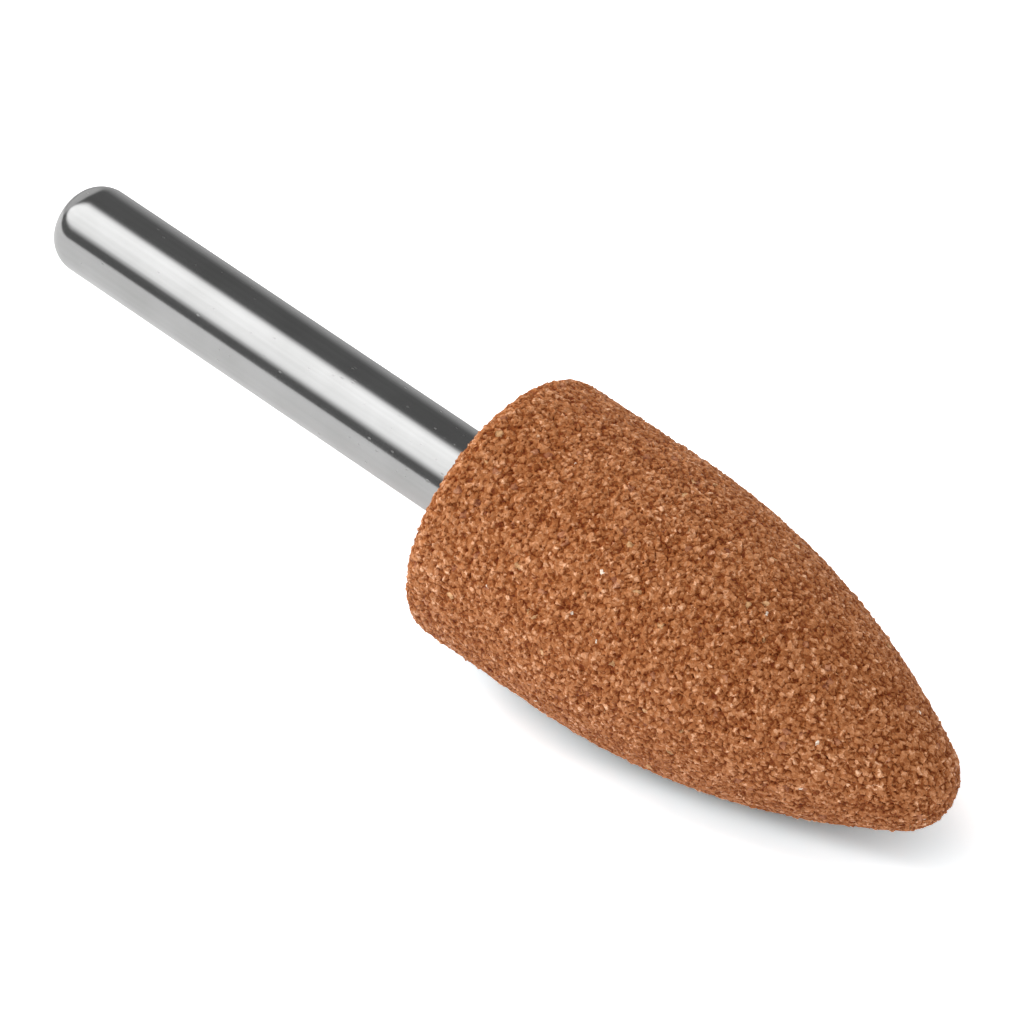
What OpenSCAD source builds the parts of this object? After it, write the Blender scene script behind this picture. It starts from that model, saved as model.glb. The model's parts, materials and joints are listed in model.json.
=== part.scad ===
// Mounted point: a stone with a pointed arch profile, cemented on the end of a plain round shank.
// The axis lies along +X with the tip forward, as the tool comes to rest on the straight part of its stone.
// The origin is on the axis where the shank leaves the back face of the stone.

/* [Shank] */
// Diameter of the ground shank that a collet grips
shank_d = 6.35; // [5.5:0.05:8]
// Free length of the shank behind the stone
shank_len = 38.1; // [20:0.1:80]
// Radius that rounds off the free end
shank_end_r = 2.3; // [0.3:0.1:2.6]
// Length of the root that is cemented into the stone
root_len = 16; // [10:0.5:24]
// Chamfer at the inner end of the root
root_chamfer = 0.8; // [0.2:0.1:1.5]

/* [Knurl] */
// Ridges of the straight knurl round the root
knurl_count = 18; // [8:1:30]
// Depth of the knurl, from crest to valley
knurl_depth = 0.4; // [0.1:0.05:0.7]
// Drop from the ground surface of the shank to the crests of the knurl
knurl_drop = 0.1; // [0.05:0.05:0.4]
// Ring grooves that key the root against being pulled out
groove_count = 2; // [1:1:4]
// Width of each ring groove
groove_w = 1.2; // [0.6:0.1:2]
// Depth of each ring groove below the valleys of the knurl
groove_depth = 0.3; // [0.1:0.05:0.6]

/* [Stone] */
// Diameter of the straight part of the stone
stone_d = 19.5; // [14:0.5:30]
// Length of the stone from its back face to its tip
stone_len = 38; // [32:0.5:60]
// Length of the straight part, from the back face to the start of the arch
land_len = 10.75; // [5:0.25:16]
// Radius of the blunt tip
tip_r = 3.5; // [1:0.25:5]
// Radius round the edge of the back face
back_r = 1.5; // [0.25:0.25:3]

/* [Cement] */
// Gap between the shank and the wall of the bore, which the cement fills
cement_gap = 0.4; // [0.15:0.05:1]
// Pad of cement between the root and the floor of the bore
cement_pad = 0.5; // [0.2:0.1:2]

/* [Hidden] */
$fn = 128;

steel = [0.74, 0.75, 0.76];
fired_grain = [0.66, 0.43, 0.28];
grey_cement = [0.72, 0.69, 0.63];

shank_r = shank_d / 2;
crest_r = shank_r - knurl_drop;
valley_r = crest_r - knurl_depth;
groove_r = valley_r - groove_depth;
groove_pitch = root_len / (groove_count + 1);
// The root starts this far inside the plain shank, so that the two are one solid
root_tuck = 2;

stone_r = stone_d / 2;
bore_r = shank_r + cement_gap;
bore_depth = root_len + cement_pad;

// The arch leaves the straight part without a corner and runs into the tip without a corner.
// So its centre lies level with the end of the straight part, and in line with the tip's own centre.
tip_centre = stone_len - tip_r;
arch_run = tip_centre - land_len;
arch_r = (arch_run ^ 2 + stone_r ^ 2 - tip_r ^ 2) / (2 * (stone_r - tip_r));
tip_join = land_len + arch_r * arch_run / (arch_r - tip_r);

// Turns a half profile, with radius along x and the axis along y, into a body along +X
module turned() {
    rotate([0, 90, 0])
        rotate_extrude()
            children();
}

// A quarter of a disc that rounds the corner of a profile, centred at [x, y] and facing away from the axis
module rounded_corner(x, y, r) {
    translate([x, y])
        intersection() {
            circle(r);
            translate([0, -r])
                square(r);
        }
}

// Half profile of the plain shank, from its rounded free end to the back face of the stone
module shank_profile() {
    translate([0, shank_end_r - shank_len])
        square([shank_r, shank_len - shank_end_r]);
    translate([0, -shank_len])
        square([shank_r - shank_end_r, shank_end_r]);
    rounded_corner(shank_r - shank_end_r, shank_end_r - shank_len, shank_end_r);
}

// Outline of the straight knurl: crests and valleys by turns round the root
function knurl_outline() = [
    for (i = [0 : 2 * knurl_count - 1])
        let (r = i % 2 == 0 ? crest_r : valley_r, a = 180 * i / knurl_count)
            [r * cos(a), r * sin(a)]
];

// The knurled and grooved end of the shank, along +Z, with its inner end chamfered
module root() {
    difference() {
        translate([0, 0, -root_tuck])
            linear_extrude(root_len + root_tuck)
                polygon(knurl_outline());
        for (i = [1 : groove_count])
            translate([0, 0, i * groove_pitch - groove_w / 2])
                rotate_extrude()
                    translate([groove_r, 0])
                        square([shank_r, groove_w]);
        rotate_extrude()
            polygon([
                [crest_r - root_chamfer, root_len + root_chamfer],
                [crest_r - root_chamfer, root_len],
                [crest_r + root_chamfer, root_len - 2 * root_chamfer],
                [crest_r + root_chamfer, root_len + root_chamfer]
            ]);
    }
}

module shank() {
    color(steel) {
        turned()
            shank_profile();
        rotate([0, 90, 0])
            root();
    }
}

// Half profile of the stone before its bore: rounded back edge, straight part, arch and blunt tip
module stone_outline() {
    square([stone_r - back_r, land_len]);
    translate([0, back_r])
        square([stone_r, land_len - back_r]);
    rounded_corner(stone_r - back_r, back_r, back_r);
    intersection() {
        translate([stone_r - arch_r, land_len])
            circle(arch_r);
        translate([0, land_len])
            square([stone_r, tip_join - land_len]);
    }
    intersection() {
        translate([0, tip_centre])
            circle(tip_r);
        translate([0, tip_join])
            square([tip_r, stone_len - tip_join]);
    }
}

module bore_profile() {
    square([bore_r, bore_depth]);
}

module stone() {
    color(fired_grain)
        turned()
            difference() {
                stone_outline();
                bore_profile();
            }
}

// The cement fills the bore round the root, flush with the back face of the stone
module cement() {
    color(grey_cement)
        difference() {
            turned()
                bore_profile();
            rotate([0, 90, 0])
                root();
        }
}

shank();
stone();
cement();
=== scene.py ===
import json
from math import asin, atan2, cos, degrees, pi, radians, sin

import bpy
from mathutils import Matrix, Vector


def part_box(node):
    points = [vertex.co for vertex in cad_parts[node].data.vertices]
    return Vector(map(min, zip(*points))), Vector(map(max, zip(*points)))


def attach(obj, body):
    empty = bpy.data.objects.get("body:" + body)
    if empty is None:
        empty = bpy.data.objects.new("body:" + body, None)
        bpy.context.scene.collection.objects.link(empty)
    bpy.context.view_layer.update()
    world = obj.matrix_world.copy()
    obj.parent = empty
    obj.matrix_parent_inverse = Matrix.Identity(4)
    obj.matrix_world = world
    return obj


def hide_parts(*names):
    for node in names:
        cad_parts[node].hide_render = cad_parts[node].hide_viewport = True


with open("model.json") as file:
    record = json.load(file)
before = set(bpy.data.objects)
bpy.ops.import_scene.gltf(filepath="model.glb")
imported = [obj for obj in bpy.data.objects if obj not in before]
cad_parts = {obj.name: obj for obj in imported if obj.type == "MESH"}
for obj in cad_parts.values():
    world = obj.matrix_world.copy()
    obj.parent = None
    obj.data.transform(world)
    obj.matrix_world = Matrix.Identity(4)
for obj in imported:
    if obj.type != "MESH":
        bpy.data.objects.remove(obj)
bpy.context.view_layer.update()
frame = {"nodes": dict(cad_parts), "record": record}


# Shank
# One bar of bright steel, turned to size and ground along its free length, with its free end rounded off.
# The end inside the stone is the root: a straight knurl with ring grooves, which the cement keys on.

shank_low, shank_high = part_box("shank")
shank_mount = frame["record"]["mounts"][0]["dims"]
shank_radius = shank_mount["r_mm"] / 1000
shank_round = -shank_low.x - shank_mount["length_mm"] / 1000
shank_round_steps = 24
shank_turns = 144
shank_smooth_angle = radians(30)

root_length = shank_high.x
root_step = 0.0001
root_crest = shank_radius - root_step
knurl_depth = 0.0004
root_valley = root_crest - knurl_depth
root_chamfer = 0.0008
root_ridges = 18
groove_depth = 0.0003
groove_radius = root_valley - groove_depth
groove_width = 0.0012
groove_count = 2

one_point = 1e-7
same_radius = 1e-6


def arc(centre, radius, start, end, steps):
    """Points of an arc in a turned outline, as pairs of place along the axis and radius about it."""
    angles = [radians(start + (end - start) * i / steps) for i in range(steps + 1)]
    return [(centre[0] + radius * cos(a), centre[1] + radius * sin(a)) for a in angles]


def turn(name, outline, turns):
    """Turns an open outline, which starts and ends on the axis, into a closed body about the X axis."""
    bpy.ops.object.select_all(action="DESELECT")
    bpy.ops.mesh.primitive_circle_add(vertices=len(outline))
    body = bpy.context.object
    body.name = body.data.name = name
    for vertex, (along, radius) in zip(body.data.vertices, outline):
        vertex.co = (along, 0, radius)
    closing = {0, len(outline) - 1}
    bpy.ops.object.mode_set(mode="EDIT")
    bpy.ops.mesh.select_mode(type="EDGE")
    bpy.ops.mesh.select_all(action="DESELECT")
    bpy.ops.object.mode_set(mode="OBJECT")
    for edge in body.data.edges:
        edge.select = set(edge.vertices) == closing
    bpy.ops.object.mode_set(mode="EDIT")
    bpy.ops.mesh.delete(type="EDGE")
    bpy.ops.object.mode_set(mode="OBJECT")
    screw = body.modifiers.new("turn", "SCREW")
    screw.axis = "X"
    screw.angle = 2 * pi
    screw.steps = screw.render_steps = turns
    screw.use_merge_vertices = True
    screw.merge_threshold = one_point
    bpy.ops.object.modifier_apply(modifier="turn")
    bpy.ops.object.mode_set(mode="EDIT")
    bpy.ops.mesh.select_all(action="SELECT")
    bpy.ops.mesh.remove_doubles(threshold=one_point)
    bpy.ops.mesh.normals_make_consistent(inside=False)
    bpy.ops.mesh.select_mode(type="VERT")
    bpy.ops.mesh.select_all(action="DESELECT")
    bpy.ops.object.mode_set(mode="OBJECT")
    return body


def groove_outline(centre):
    """The outline of one ring groove in the root."""
    near, far = centre - groove_width / 2, centre + groove_width / 2
    return [(near, root_crest), (near, groove_radius), (far, groove_radius), (far, root_crest)]


round_centre = (shank_low.x + shank_round, shank_radius - shank_round)
shank_outline = [(shank_low.x, 0)]
shank_outline += arc(round_centre, shank_round, 180, 90, shank_round_steps)
shank_outline += [(0, shank_radius), (0, root_crest)]
for i in range(groove_count):
    shank_outline += groove_outline(root_length * (i + 1) / (groove_count + 1))
shank_outline += [
    (root_length - root_chamfer, root_crest),
    (root_length, root_crest - root_chamfer),
    (root_length, 0),
]
shank = turn("shank_bar", shank_outline, shank_turns)

# The knurl: column by column, the wall of the root is pressed in from its crests towards its valleys
columns = shank_turns // root_ridges
for step in range(1, columns // 2 + 1):
    press = 1 - (1 - root_valley / root_crest) * step / (columns / 2)
    for vertex in shank.data.vertices:
        on_wall = vertex.co.x > 0 and abs(vertex.co.yz.length - root_crest) < same_radius
        column = round(atan2(vertex.co.z, vertex.co.y) / (2 * pi) * shank_turns) % columns
        vertex.select = on_wall and column in (step, columns - step)
    bpy.ops.object.mode_set(mode="EDIT")
    bpy.ops.transform.resize(value=(1, press, press), center_override=(0, 0, 0))
    bpy.ops.mesh.select_all(action="DESELECT")
    bpy.ops.object.mode_set(mode="OBJECT")
bpy.ops.object.shade_smooth_by_angle(angle=shank_smooth_angle)


class Wire:
    """A wire in a node tree: sums on it add Math nodes, and any other node comes from its node method."""

    def __init__(self, tree, socket=None):
        self.tree = tree
        self.socket = socket

    def node(self, kind, settings=None, inputs=None):
        """Adds a node with its settings and its sockets' values or links. Returns its wires by name."""
        node = self.tree.nodes.new(kind)
        settings = dict(settings or {})
        for place, colour in settings.pop("stops", ()):
            stop = node.color_ramp.elements.new(place)
            stop.color = (*colour, 1)
        for name, value in settings.items():
            setattr(node, name, value)
        if kind == "ShaderNodeValToRGB":
            node.color_ramp.elements.remove(node.color_ramp.elements[0])
            node.color_ramp.elements.remove(node.color_ramp.elements[-1])
        for name, value in (inputs or {}).items():
            named = [s for s in node.inputs if s.name == name and s.enabled]
            socket = named[0] if named else node.inputs[name]
            if isinstance(value, Wire):
                self.tree.links.new(value.socket, socket)
            else:
                socket.default_value = value
        return {s.name: Wire(self.tree, s) for s in reversed(node.outputs) if s.enabled}

    def math(self, operation, first, second):
        """One Math node on two wires or numbers."""
        return self.node("ShaderNodeMath", {"operation": operation}, {0: first, 1: second})["Value"]

    def vector(self, operation, first, second):
        """One Vector Math node on two wires or vectors. Returns its wires by name."""
        return self.node("ShaderNodeVectorMath", {"operation": operation}, {0: first, 1: second})

    def __add__(self, other):
        return self.math("ADD", self, other)

    def __radd__(self, other):
        return self.math("ADD", other, self)

    def __sub__(self, other):
        return self.math("SUBTRACT", self, other)

    def __rsub__(self, other):
        return self.math("SUBTRACT", other, self)

    def __mul__(self, other):
        return self.math("MULTIPLY", self, other)

    def __rmul__(self, other):
        return self.math("MULTIPLY", other, self)

    def __truediv__(self, other):
        return self.math("DIVIDE", self, other)

    def __rtruediv__(self, other):
        return self.math("DIVIDE", other, self)

    def __pow__(self, other):
        return self.math("POWER", self, other)

    def __gt__(self, other):
        return self.math("GREATER_THAN", self, other)

    def __lt__(self, other):
        return self.math("LESS_THAN", self, other)

    def rise(self, low, high):
        """0 below low, 1 above high, smooth between. Low may lie above high, which turns it round."""
        return self.node(
            "ShaderNodeMapRange", {"interpolation_type": "SMOOTHSTEP"},
            {"Value": self, "From Min": low, "From Max": high})["Result"]


def new_material(name):
    """An empty material, and the wire that its nodes start from."""
    material = bpy.data.materials.new(name)
    material.use_nodes = True
    material.node_tree.nodes.clear()
    return material, Wire(material.node_tree)


def finish_material(start, shader):
    """Links a shader to its material's output."""
    start.node("ShaderNodeOutputMaterial", {}, {"Surface": shader})


def stretched(place, scales):
    """A place with each of its axes scaled by itself."""
    return place.vector("MULTIPLY", place, scales)["Vector"]


def separated(vector):
    """The three parts of a vector or a colour."""
    parts = vector.node("ShaderNodeSeparateXYZ", {}, {"Vector": vector})
    return parts["X"], parts["Y"], parts["Z"]


def noise(place, scale, detail):
    """Soft random values from about 0 to 1, with so many waves to the unit and so many finer layers."""
    return place.node("ShaderNodeTexNoise", {}, {"Vector": place, "Scale": scale, "Detail": detail})["Fac"]


# Ground steel: fine lengthwise polishing streaks, faint rings from grinding, soft clouds in its shine, and
# nicks, of which there are more by the stone. Waves are counted to the metre.
streak_waves = (40, 3200, 3200)
streak_layers = 3
ring_waves = (9000, 120, 120)
ring_layers = 2
cloud_waves = 260
cloud_layers = 3
nick_waves = (1200, 2300, 2300)
nick_edge = (0.24, 0.05)
nicks_gather = (-0.03, -0.004)
nick_rare = 0.92
nick_gain = 0.37
steel_shades = [(0.25, (0.46, 0.46, 0.455)), (0.75, (0.57, 0.57, 0.57))]
cloud_share = 0.6
steel_roughness = 0.1
streak_roughness = 0.06
cloud_roughness = 0.04
nick_roughness = 0.25
ring_depth = 0.5
nick_depth = 0.8
steel_bump_strength = 0.12
steel_bump_height = 0.00002

ground_steel, start = new_material("ground_steel")
place = start.node("ShaderNodeTexCoord")["Object"]
streaks = noise(stretched(place, streak_waves), 1, streak_layers)
rings = noise(stretched(place, ring_waves), 1, ring_layers)
cloud = noise(place, cloud_waves, cloud_layers)
nick = start.node("ShaderNodeTexVoronoi", {}, {"Vector": stretched(place, nick_waves), "Scale": 1})
nick_chance = separated(nick["Color"])[0]
by_stone = separated(place)[0].rise(*nicks_gather)
nicks = nick["Distance"].rise(*nick_edge) * (nick_chance > nick_rare - nick_gain * by_stone)
steel_colour = start.node(
    "ShaderNodeValToRGB", {"stops": steel_shades},
    {"Fac": cloud_share * cloud + (1 - cloud_share) * streaks})["Color"]
steel_bump = start.node("ShaderNodeBump", {}, {
    "Height": streaks + ring_depth * rings - nick_depth * nicks,
    "Strength": steel_bump_strength,
    "Distance": steel_bump_height,
})["Normal"]
steel_shader = start.node("ShaderNodeBsdfPrincipled", {}, {
    "Base Color": steel_colour,
    "Metallic": 1,
    "Roughness": (
        steel_roughness + streak_roughness * streaks + cloud_roughness * cloud + nick_roughness * nicks),
    "Normal": steel_bump,
})["BSDF"]
finish_material(start, steel_shader)
shank.data.materials.append(ground_steel)
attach(shank, "root")
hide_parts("shank")


# Cement
# The cement fills the bore of the stone round the root, and is wiped off flush with the stone's back face.
# Only a thin matt ring of it shows, between the shank and the stone.


def tone(red, green, blue):
    """A colour as seen on a screen, from 0 to 255, as the linear colour that a shader takes."""
    return tuple(
        c / 12.92 if c <= 0.04045 else ((c + 0.055) / 1.055) ** 2.4
        for c in (red / 255, green / 255, blue / 255))


cement_shades = [(0.3, tone(128, 104, 84)), (0.55, tone(178, 164, 146)), (0.8, tone(206, 198, 184))]
lump_waves = 2600
lump_layers = 4
lump_share = 0.6
smear_waves = 500
smear_layers = 2
cement_roughness = 0.75
lump_roughness = 0.2
cement_bump_strength = 0.6
cement_bump_height = 0.0001

bond_cement, start = new_material("bond_cement")
place = start.node("ShaderNodeTexCoord")["Object"]
lumps = noise(place, lump_waves, lump_layers)
smears = noise(place, smear_waves, smear_layers)
cement_colour = start.node(
    "ShaderNodeValToRGB", {"stops": cement_shades},
    {"Fac": lump_share * lumps + (1 - lump_share) * smears})["Color"]
cement_bump = start.node("ShaderNodeBump", {}, {
    "Height": lumps,
    "Strength": cement_bump_strength,
    "Distance": cement_bump_height,
})["Normal"]
cement_shader = start.node("ShaderNodeBsdfPrincipled", {}, {
    "Base Color": cement_colour,
    "Roughness": cement_roughness + lump_roughness * lumps,
    "Normal": cement_bump,
})["BSDF"]
finish_material(start, cement_shader)
cement = frame["nodes"]["cement"]
cement.data.materials.clear()
cement.data.materials.append(bond_cement)


# Stone
# The stone is orange brown abrasive grain in a fired bond, pressed in a mould. It has a rounded back edge,
# a straight part, an arch that runs into a blunt tip, and a blind bore that the root is cemented in. Its
# skin is open grain with pores.

stone_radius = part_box("stone")[1].z
stone_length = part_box("stone")[1].x
stone_back_round = 0.0015
stone_land = 0.01075
stone_tip_radius = 0.0035
bore_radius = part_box("cement")[1].z
bore_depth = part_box("cement")[1].x
skin_step = 0.000118
stone_turns = 500
stone_triangles = 196000

tip_centre = stone_length - stone_tip_radius
arch_run = tip_centre - stone_land
arch_rise = stone_radius - stone_tip_radius
arch_radius = (arch_run ** 2 + stone_radius ** 2 - stone_tip_radius ** 2) / (2 * arch_rise)
arch_end = 90 - degrees(asin(arch_run / (arch_radius - stone_tip_radius)))


def skin_steps(length):
    """How many steps a stretch of the stone's outline is cut into for its grain."""
    return max(2, round(length / skin_step))


def straight(begin, end):
    """Points of a straight stretch of the stone's outline, without its last."""
    begin, end = Vector(begin), Vector(end)
    steps = skin_steps((end - begin).length)
    return [tuple(begin.lerp(end, i / steps)) for i in range(steps)]


def skin_arc(centre, radius, begin, end):
    """Points of a round stretch of the stone's outline, without its last."""
    return arc(centre, radius, begin, end, skin_steps(radians(abs(end - begin)) * radius))[:-1]


back_edge = stone_radius - stone_back_round
stone_outline = [(bore_depth, 0), (bore_depth, bore_radius)]
stone_outline += straight((0, bore_radius), (0, back_edge))
stone_outline += skin_arc((stone_back_round, back_edge), stone_back_round, 180, 90)
stone_outline += straight((stone_back_round, stone_radius), (stone_land, stone_radius))
stone_outline += skin_arc((stone_land, stone_radius - arch_radius), arch_radius, 90, arch_end)
stone_outline += skin_arc((tip_centre, 0), stone_tip_radius, arch_end, 0)
stone_outline += [(stone_length, 0)]
stone = turn("stone_body", stone_outline, stone_turns)

# The grain: broken faces of a coarse and a fine size, with pores where the bond gapes between coarse ones.
# Each grain has random values, which run from 0 to 1 about their middle.
grain = 0.00038
fine_grain = 0.6 * grain
middle = 0.5
stir_scale = 1.3 / grain
stir_reach = 0.8 * grain
grain_step = 0.4
pore_scale = 0.9 / grain
pore_spread = 0.9
pore_level = 0.44
pore_edge = (-0.05, 0.06)


def facets(place, size):
    """Broken grains of a size: how high their slanted faces stand, and two random values of each grain."""
    cell = place.node("ShaderNodeTexVoronoi", {}, {"Vector": place, "Scale": 1 / size})
    way = place.vector("SUBTRACT", place, cell["Position"])["Vector"]
    lean = place.vector("SUBTRACT", cell["Color"], (middle, middle, middle))["Vector"]
    slant = place.vector("DOT_PRODUCT", way, lean)["Value"] / size
    tint, step, kind = separated(cell["Color"])
    return slant + grain_step * step - grain_step / 2, tint, kind


def grain_pattern(place):
    """The grain at a place: height, tint and kind of its coarse and its fine faces, and the pores."""
    stir = place.node(
        "ShaderNodeTexNoise", {}, {"Vector": place, "Scale": stir_scale, "Detail": 1})["Color"]
    stirred = place.node(
        "ShaderNodeVectorMath", {"operation": "MULTIPLY_ADD"},
        {0: stir, 1: (stir_reach, stir_reach, stir_reach), 2: place})["Vector"]
    coarse, coarse_tint, coarse_kind = facets(stirred, grain)
    fine, fine_tint, fine_kind = facets(stirred, fine_grain)
    seam = stirred.node(
        "ShaderNodeTexVoronoi", {"feature": "DISTANCE_TO_EDGE"},
        {"Vector": stirred, "Scale": 1 / grain})["Distance"]
    gape = pore_spread * (noise(place, pore_scale, 1) - pore_level)
    pores = (gape - seam).rise(*pore_edge)
    return coarse, coarse_tint, coarse_kind, fine, fine_tint, fine_kind, pores


# The relief: the skin is lifted by its grain, but not in the bore. Its smooth place is kept for the colours.
relief_height = 0.0002
fine_relief = 0.4
pore_relief = 0.5

relief = bpy.data.node_groups.new("grain_relief", "GeometryNodeTree")
relief.interface.new_socket("Geometry", in_out="INPUT", socket_type="NodeSocketGeometry")
relief.interface.new_socket("Geometry", in_out="OUTPUT", socket_type="NodeSocketGeometry")
start = Wire(relief)
bare = start.node("NodeGroupInput")["Geometry"]
place = start.node("GeometryNodeInputPosition")["Position"]
normal = start.node("GeometryNodeInputNormal")["Normal"]
marked = start.node(
    "GeometryNodeStoreNamedAttribute", {"data_type": "FLOAT_VECTOR", "domain": "POINT"},
    {"Geometry": bare, "Name": "rest_place", "Value": place})["Geometry"]
coarse, _, _, fine, _, _, pores = grain_pattern(place)
height = coarse + fine_relief * fine - pore_relief * pores
along, across, above = separated(place)
about = (across * across + above * above) ** 0.5
clear_of_bore = start.math(
    "MAXIMUM", about.rise(bore_radius, bore_radius + grain), along.rise(bore_depth, bore_depth + grain))
lift = start.node(
    "ShaderNodeVectorMath", {"operation": "SCALE"},
    {"Vector": normal, "Scale": relief_height * height * clear_of_bore})["Vector"]
raised = start.node("GeometryNodeSetPosition", {}, {"Geometry": marked, "Offset": lift})["Geometry"]
start.node("NodeGroupOutput", {}, {"Geometry": raised})

modifier = stone.modifiers.new("relief", "NODES")
modifier.node_group = relief
bpy.ops.object.modifier_apply(modifier="relief")
stone.data.calc_loop_triangles()
modifier = stone.modifiers.new("thin", "DECIMATE")
modifier.ratio = stone_triangles / len(stone.data.loop_triangles)
bpy.ops.object.modifier_apply(modifier="thin")
bpy.ops.object.shade_flat()

# The stone's own map: across it goes round the stone, and up it runs from the bore over the back to the
# tip. The right side has a margin more, for the faces that pass the seam.
map_margin = 0.01
bore_share = 0.1
back_run = stone_radius - bore_radius + stone_back_round
skin_run = back_run + stone_length - stone_back_round + stone_radius
half_round = 0.5
on_bore = 1e-6


def run_of(place):
    """How far along the skin a place lies, from the bottom of the bore to the tip, from 0 to 1."""
    reach = place.yz.length
    if reach <= bore_radius + on_bore and place.x <= bore_depth + on_bore:
        return bore_share * (bore_depth - place.x + reach) / (bore_depth + bore_radius)
    if place.x < stone_back_round:
        run = reach - bore_radius + place.x
    else:
        run = back_run + place.x - stone_back_round + stone_radius - reach
    return bore_share + (1 - bore_share) * run / skin_run


stone_map = stone.data.uv_layers.new(name="OFBake")
runs = [run_of(vertex.co) for vertex in stone.data.vertices]
rounds = [atan2(vertex.co.z, vertex.co.y) / (2 * pi) + half_round for vertex in stone.data.vertices]
for face in stone.data.polygons:
    face_rounds = [rounds[v] for v in face.vertices]
    crosses_seam = max(face_rounds) - min(face_rounds) > half_round
    for corner, v in zip(face.loop_indices, face.vertices):
        past_seam = crosses_seam and rounds[v] < half_round
        stone_map.uv[corner].vector = (
            map_margin + (1 - 3 * map_margin) * (rounds[v] + past_seam),
            map_margin + (1 - 2 * map_margin) * runs[v])

# The grain's colour: a shade from dark bond to pale grain. Painted light makes the tops of grains paler, and
# painted shade makes their low parts and the pores darker.
grain_shades = [
    (0.08, tone(120, 46, 0)),
    (0.28, tone(146, 77, 26)),
    (0.48, tone(172, 105, 57)),
    (0.66, tone(198, 134, 89)),
    (0.82, tone(224, 163, 121)),
    (0.97, tone(247, 197, 158)),
]
middle_shade = 0.505
coarse_tint_range = 0.06
fine_tint_range = 0.14
dust_scale = 3 / grain
dust_layers = 2
dust_range = 0.45
broad_waves = 320
broad_layers = 3
broad_range = 0.2
# Painted light and shade: how much paler the tops of grains and how much darker their low parts and pores
# are made
painted_relief_shading = 0.42
painted_pore_shade = 0.23
pale_coarse_above = 0.9
pale_coarse_gain = 0.1
pale_fine_above = 0.87
pale_fine_gain = 0.23
glint_above = 0.8

# Grains of other kinds: cream and mauve ones of the coarse size. A few white specks of the fine size are
# painted glints.
cream = tone(226, 190, 140)
cream_above = 0.995
cream_share = 0.45
mauve = tone(166, 110, 88)
mauve_below = 0.012
mauve_share = 0.4
painted_glint_colour = tone(255, 244, 228)
painted_glint_above = 0.9997
painted_glint_share = 0.8

grain_roughness = 0.65
glint_polish = 0.3
grain_specular = 0.3
pore_bump = 0.8
grain_bump_strength = 0.6
grain_bump_height = 0.0001

abrasive_grain, start = new_material("abrasive_grain")
place = start.node("ShaderNodeAttribute", {"attribute_name": "rest_place"})["Vector"]
coarse, coarse_tint, coarse_kind, fine, fine_tint, fine_kind, pores = grain_pattern(place)
dust = noise(place, dust_scale, dust_layers)
broad = noise(place, broad_waves, broad_layers)
pale_coarse = pale_coarse_gain * (coarse_kind > pale_coarse_above)
pale_fine = pale_fine_gain * (fine_kind > pale_fine_above)
pale = pale_coarse + pale_fine
tints = coarse_tint_range * (coarse_tint - middle) + fine_tint_range * (fine_tint - middle)
patches = dust_range * (dust - middle) + broad_range * (broad - middle)
# Painted light on the tops of coarse grains, painted shade in their low parts and in the pores
shade = middle_shade + tints + patches + painted_relief_shading * coarse + pale - painted_pore_shade * pores
grain_colour = start.node("ShaderNodeValToRGB", {"stops": grain_shades}, {"Fac": shade})["Color"]
for share, other in (
    (cream_share * (coarse_kind > cream_above), cream),
    (mauve_share * (coarse_kind < mauve_below), mauve),
    # Painted glints: a few fine grains are mixed towards white
    (painted_glint_share * (fine_kind > painted_glint_above), painted_glint_colour),
):
    grain_colour = start.node(
        "ShaderNodeMix", {"data_type": "RGBA"},
        {"Factor": share, "A": grain_colour, "B": (*other, 1)})["Result"]
grain_bump = start.node("ShaderNodeBump", {}, {
    "Height": dust + fine - pore_bump * pores,
    "Strength": grain_bump_strength,
    "Distance": grain_bump_height,
})["Normal"]
grain_shader = start.node("ShaderNodeBsdfPrincipled", {}, {
    "Base Color": grain_colour,
    "Roughness": grain_roughness - glint_polish * (fine_kind > glint_above),
    "Specular IOR Level": grain_specular,
    "Normal": grain_bump,
})["BSDF"]
finish_material(start, grain_shader)
stone.data.materials.append(abrasive_grain)
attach(stone, "root")
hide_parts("stone")


# Floor
# A white table top. The tool leans on the arch of its stone with the nose down, so the table is square to
# a point of the arch. It shows white where nothing shades it, and keeps the soft shadow under the stone. To
# the camera it is painted cooler by the stone, against the stone's warm bounce light, and painted paler
# along the half shadow, as painted light that lifts the shadow there.

table_up = Vector((-0.15, 0.16, 0.975)).normalized()
table_radius = 0.5
table_sides = 96
table_plain = 1.25
table_seen = 1.62
table_mirrored = 0.83
table_mirrored_far = 0.4
table_turns_far = (0.01, 0.03)
cool_red = 0.4
cool_blue = 0.18
cool_fades_in = (0.01155, 0.00245)
cool_length = 2.76
cool_shift = (-0.003, 0.00104)
cool_far = 0.74
cool_turns_far = (0.002, 0.006)
cool_fades_behind = (-0.006, 0.004)
half_shadow_gain = 0.334
half_shadow_middle = (0.02647, -0.00492)
half_shadow_slope = 0.246
half_shadow_length = 7.8
half_shadow_width = 0.00198

table_slope = asin(-table_up.x)
touch_reach = stone_radius - arch_radius + arch_radius * cos(table_slope)
down = Vector((0, -table_up.y, -table_up.z)).normalized()
touch = Vector((stone_land + arch_radius * sin(table_slope), 0, 0)) + touch_reach * down
cool_middle = Vector(((touch.x + cool_shift[0]) / cool_length, touch.y + cool_shift[1], touch.z))

bpy.ops.object.select_all(action="DESELECT")
bpy.ops.mesh.primitive_circle_add(vertices=table_sides, radius=table_radius, fill_type="NGON")
floor = bpy.context.object
floor.name = "table_top"
floor.data.transform(Matrix.Translation(touch) @ table_up.to_track_quat("Z", "Y").to_matrix().to_4x4())


def blend(value, other, share):
    """A value that goes over to another one by a share."""
    return value + share * (other - value)


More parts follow.
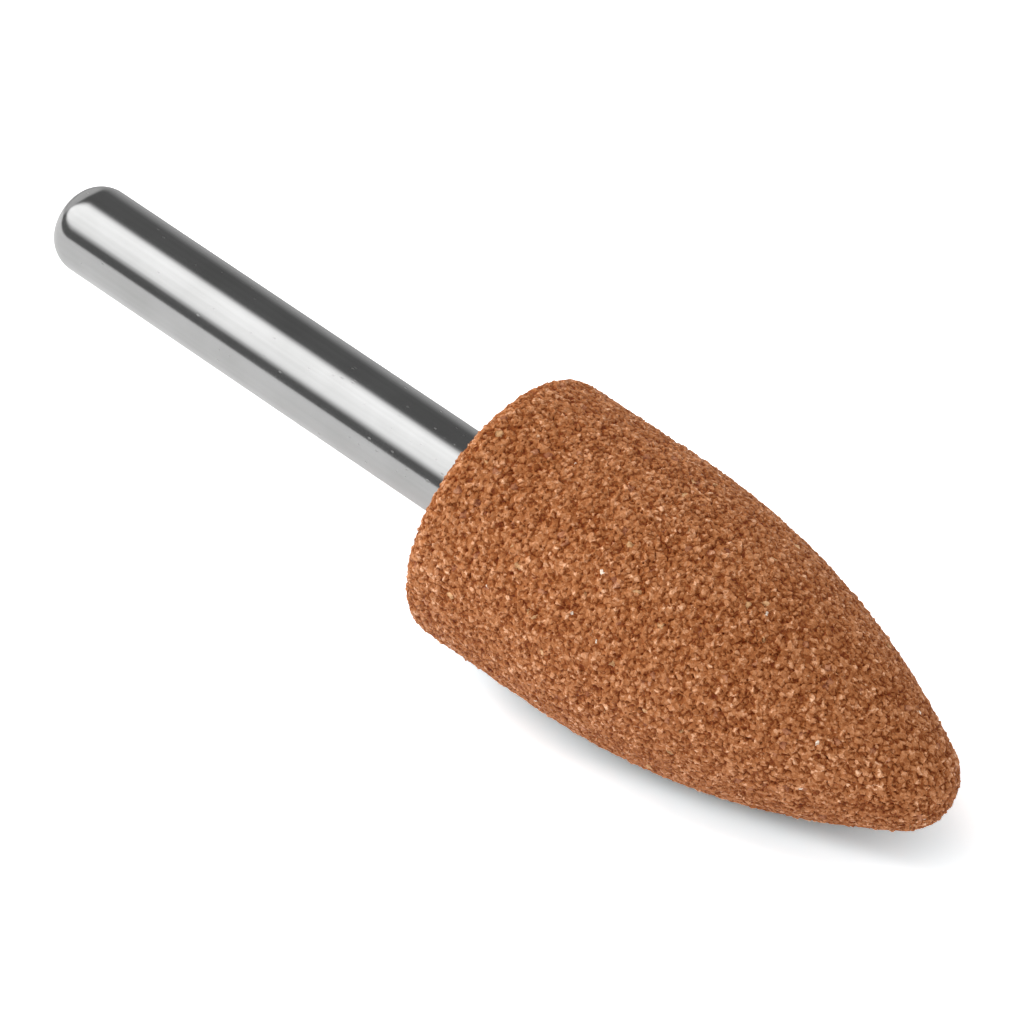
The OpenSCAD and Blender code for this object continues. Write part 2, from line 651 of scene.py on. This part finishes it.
table_white, start = new_material("table_white")
path = start.node("ShaderNodeLightPath")
place = start.node("ShaderNodeTexCoord")["Object"]
along, across, _ = separated(place)
# Painted light: to the camera the table is made paler along the half shadow beside the stone
half_along = along - half_shadow_middle[0]
half_across = across - half_shadow_middle[1] - half_shadow_slope * half_along
half_run = half_along / half_shadow_length
half_distance = (half_run * half_run + half_across * half_across) ** 0.5
seen = table_seen * (1 + half_shadow_gain * half_distance.rise(half_shadow_width, 0))
mirrored = blend(table_mirrored, table_mirrored_far, across.rise(*table_turns_far))
mirrored_share = start.math("MAXIMUM", path["Is Glossy Ray"], path["Is Transmission Ray"])
whiteness = blend(blend(table_plain, seen, path["Is Camera Ray"]), mirrored, mirrored_share)
# Painted against the stone's warm bounce light: near the stone the table is made cooler to the camera, so
# its shadow stays grey
cool_distance = start.vector("DISTANCE", stretched(place, (1 / cool_length, 1, 1)), cool_middle)["Value"]
cool_side = blend(1, cool_far, (across - touch.y).rise(*cool_turns_far))
cool_place = cool_distance.rise(*cool_fades_in) * cool_side * along.rise(*cool_fades_behind)
cool = path["Is Camera Ray"] * cool_place
cool_white = start.node("ShaderNodeCombineColor", {}, {
    "Red": whiteness * (1 - cool_red * cool),
    "Green": whiteness,
    "Blue": whiteness * (1 + cool_blue * cool),
})["Color"]
lit = start.node("ShaderNodeBsdfDiffuse", {}, {"Color": cool_white})["BSDF"]
underside = start.node("ShaderNodeNewGeometry")["Backfacing"]
clear = start.node("ShaderNodeBsdfTransparent")["BSDF"]
one_sided = start.node("ShaderNodeMixShader", {}, {"Fac": underside, 1: lit, 2: clear})["Shader"]
finish_material(start, one_sided)
floor.data.materials.append(table_white)


# Studio
# A long soft panel hangs over the tool, with even light around it, and a large soft light stands low at the
# tail. The steel mirrors the wide bright ceiling, the table, a pale wall behind the tail and a dim room.

tail_way = Vector((-0.97, -0.17, 0.15))
tail_level = 0.97
tail_spread = radians(66)
tail_lamp = bpy.data.lights.new("tail", "SUN")
tail_lamp.energy = tail_level * pi
tail_lamp.angle = tail_spread
tail = bpy.data.objects.new("tail", tail_lamp)
tail.rotation_euler = tail_way.to_track_quat("Z", "Y").to_euler()
tail.visible_glossy = False
bpy.context.scene.collection.objects.link(tail)

strip_edge = radians(11)
panel_light = 1.45
panel_tilt = radians(15.7)
panel_half_width = radians(17)
panel_ends = (0.87, 0.47)
fill_light = 0.35
tip_light = 0.13
far_light = 0.4
side_edge = (0.2, 0.9)
ceiling_mirrored = 1.72
ceiling_mirrored_near = 1.42
ceiling_tilt = radians(21.5)
ceiling_half_width = radians(34.5)
ceiling_turns_near = (-0.2, 0.9)
ceiling_fades_in = (-0.03, 0.27)
room_mirrored = 0.135
far_mirrored = 0.4
far_fades_in = (0.23, -0.23)
far_side = (0.15, -0.1)
wall_mirrored = 0.62
wall_way = Vector((-0.9, 0.42, 0)).normalized()
wall_edge = (cos(radians(30)), cos(radians(18)))
table_edge = (0.01, -0.03)
table_side = (-0.1, 0.1)
over_one = 1.0001

world = bpy.data.worlds.new("studio")
world.use_nodes = True
world.node_tree.nodes.clear()
bpy.context.scene.world = world
start = Wire(world.node_tree)
direction = start.node("ShaderNodeTexCoord")["Generated"]


def facing(way):
    """How squarely the direction that is looked in faces a way: 1 along it, -1 against it."""
    return start.vector("DOT_PRODUCT", direction, way)["Value"]


def strip(tilt, half_width):
    """A long strip over the tool, tilted from straight up towards the near side: 1 inside it, 0 outside."""
    across = facing((0, -sin(tilt), cos(tilt))) / (over_one - along * along) ** 0.5
    return across.rise(cos(half_width + strip_edge), cos(half_width - strip_edge))


along = facing((1, 0, 0))
near = facing((0, -1, 0))
far = facing((0, 1, 0))
height = facing((0, 0, 1))
light = fill_light + panel_light * strip(panel_tilt, panel_half_width) * along.rise(*panel_ends)
light = light + tip_light * along.rise(*side_edge) + far_light * far.rise(*side_edge)
ceiling = blend(ceiling_mirrored, ceiling_mirrored_near, near.rise(*ceiling_turns_near))
mirrored = blend(room_mirrored, far_mirrored, height.rise(*far_fades_in) * near.rise(*far_side))
mirrored = blend(mirrored, wall_mirrored, facing(wall_way).rise(*wall_edge))
mirrored = blend(
    mirrored, ceiling, strip(ceiling_tilt, ceiling_half_width) * height.rise(*ceiling_fades_in))
mirrored = blend(mirrored, table_mirrored, facing(table_up).rise(*table_edge) * near.rise(*table_side))
path = start.node("ShaderNodeLightPath")
level = blend(light, mirrored, path["Is Glossy Ray"])
level = blend(level, 1, path["Is Camera Ray"])
background = start.node(
    "ShaderNodeBackground", {}, {"Color": (1, 1, 1, 1), "Strength": level})["Background"]
start.node("ShaderNodeOutputWorld", {}, {"Surface": background})
bpy.context.scene.view_settings.view_transform = "Standard"


# Camera
# It looks down on the tool from the near side of its tip, at the angle of the photograph, from about half
# a metre away. The picture is square, and its width follows from how large the tool shows in it.

azimuth = radians(40.65)
elevation = radians(51.67)
distance = 0.42
picture_pixels = 1024
pixels_per_metre = 15189
picture_width = picture_pixels / pixels_per_metre
aim_right = 0.001151
aim_down = 0.000839

right = Vector((cos(azimuth), sin(azimuth), 0))
back = Vector((sin(azimuth) * cos(elevation), -cos(azimuth) * cos(elevation), sin(elevation)))
up = back.cross(right)
aim = aim_right * right - aim_down * up

camera_data = bpy.data.cameras.new("camera")
camera_data.lens = camera_data.sensor_width * distance / picture_width
camera = bpy.data.objects.new("camera", camera_data)
camera.matrix_world = (
    Matrix.Translation(aim + distance * back) @ Matrix((right, up, back)).transposed().to_4x4())
bpy.context.scene.collection.objects.link(camera)
bpy.context.scene.camera = camera
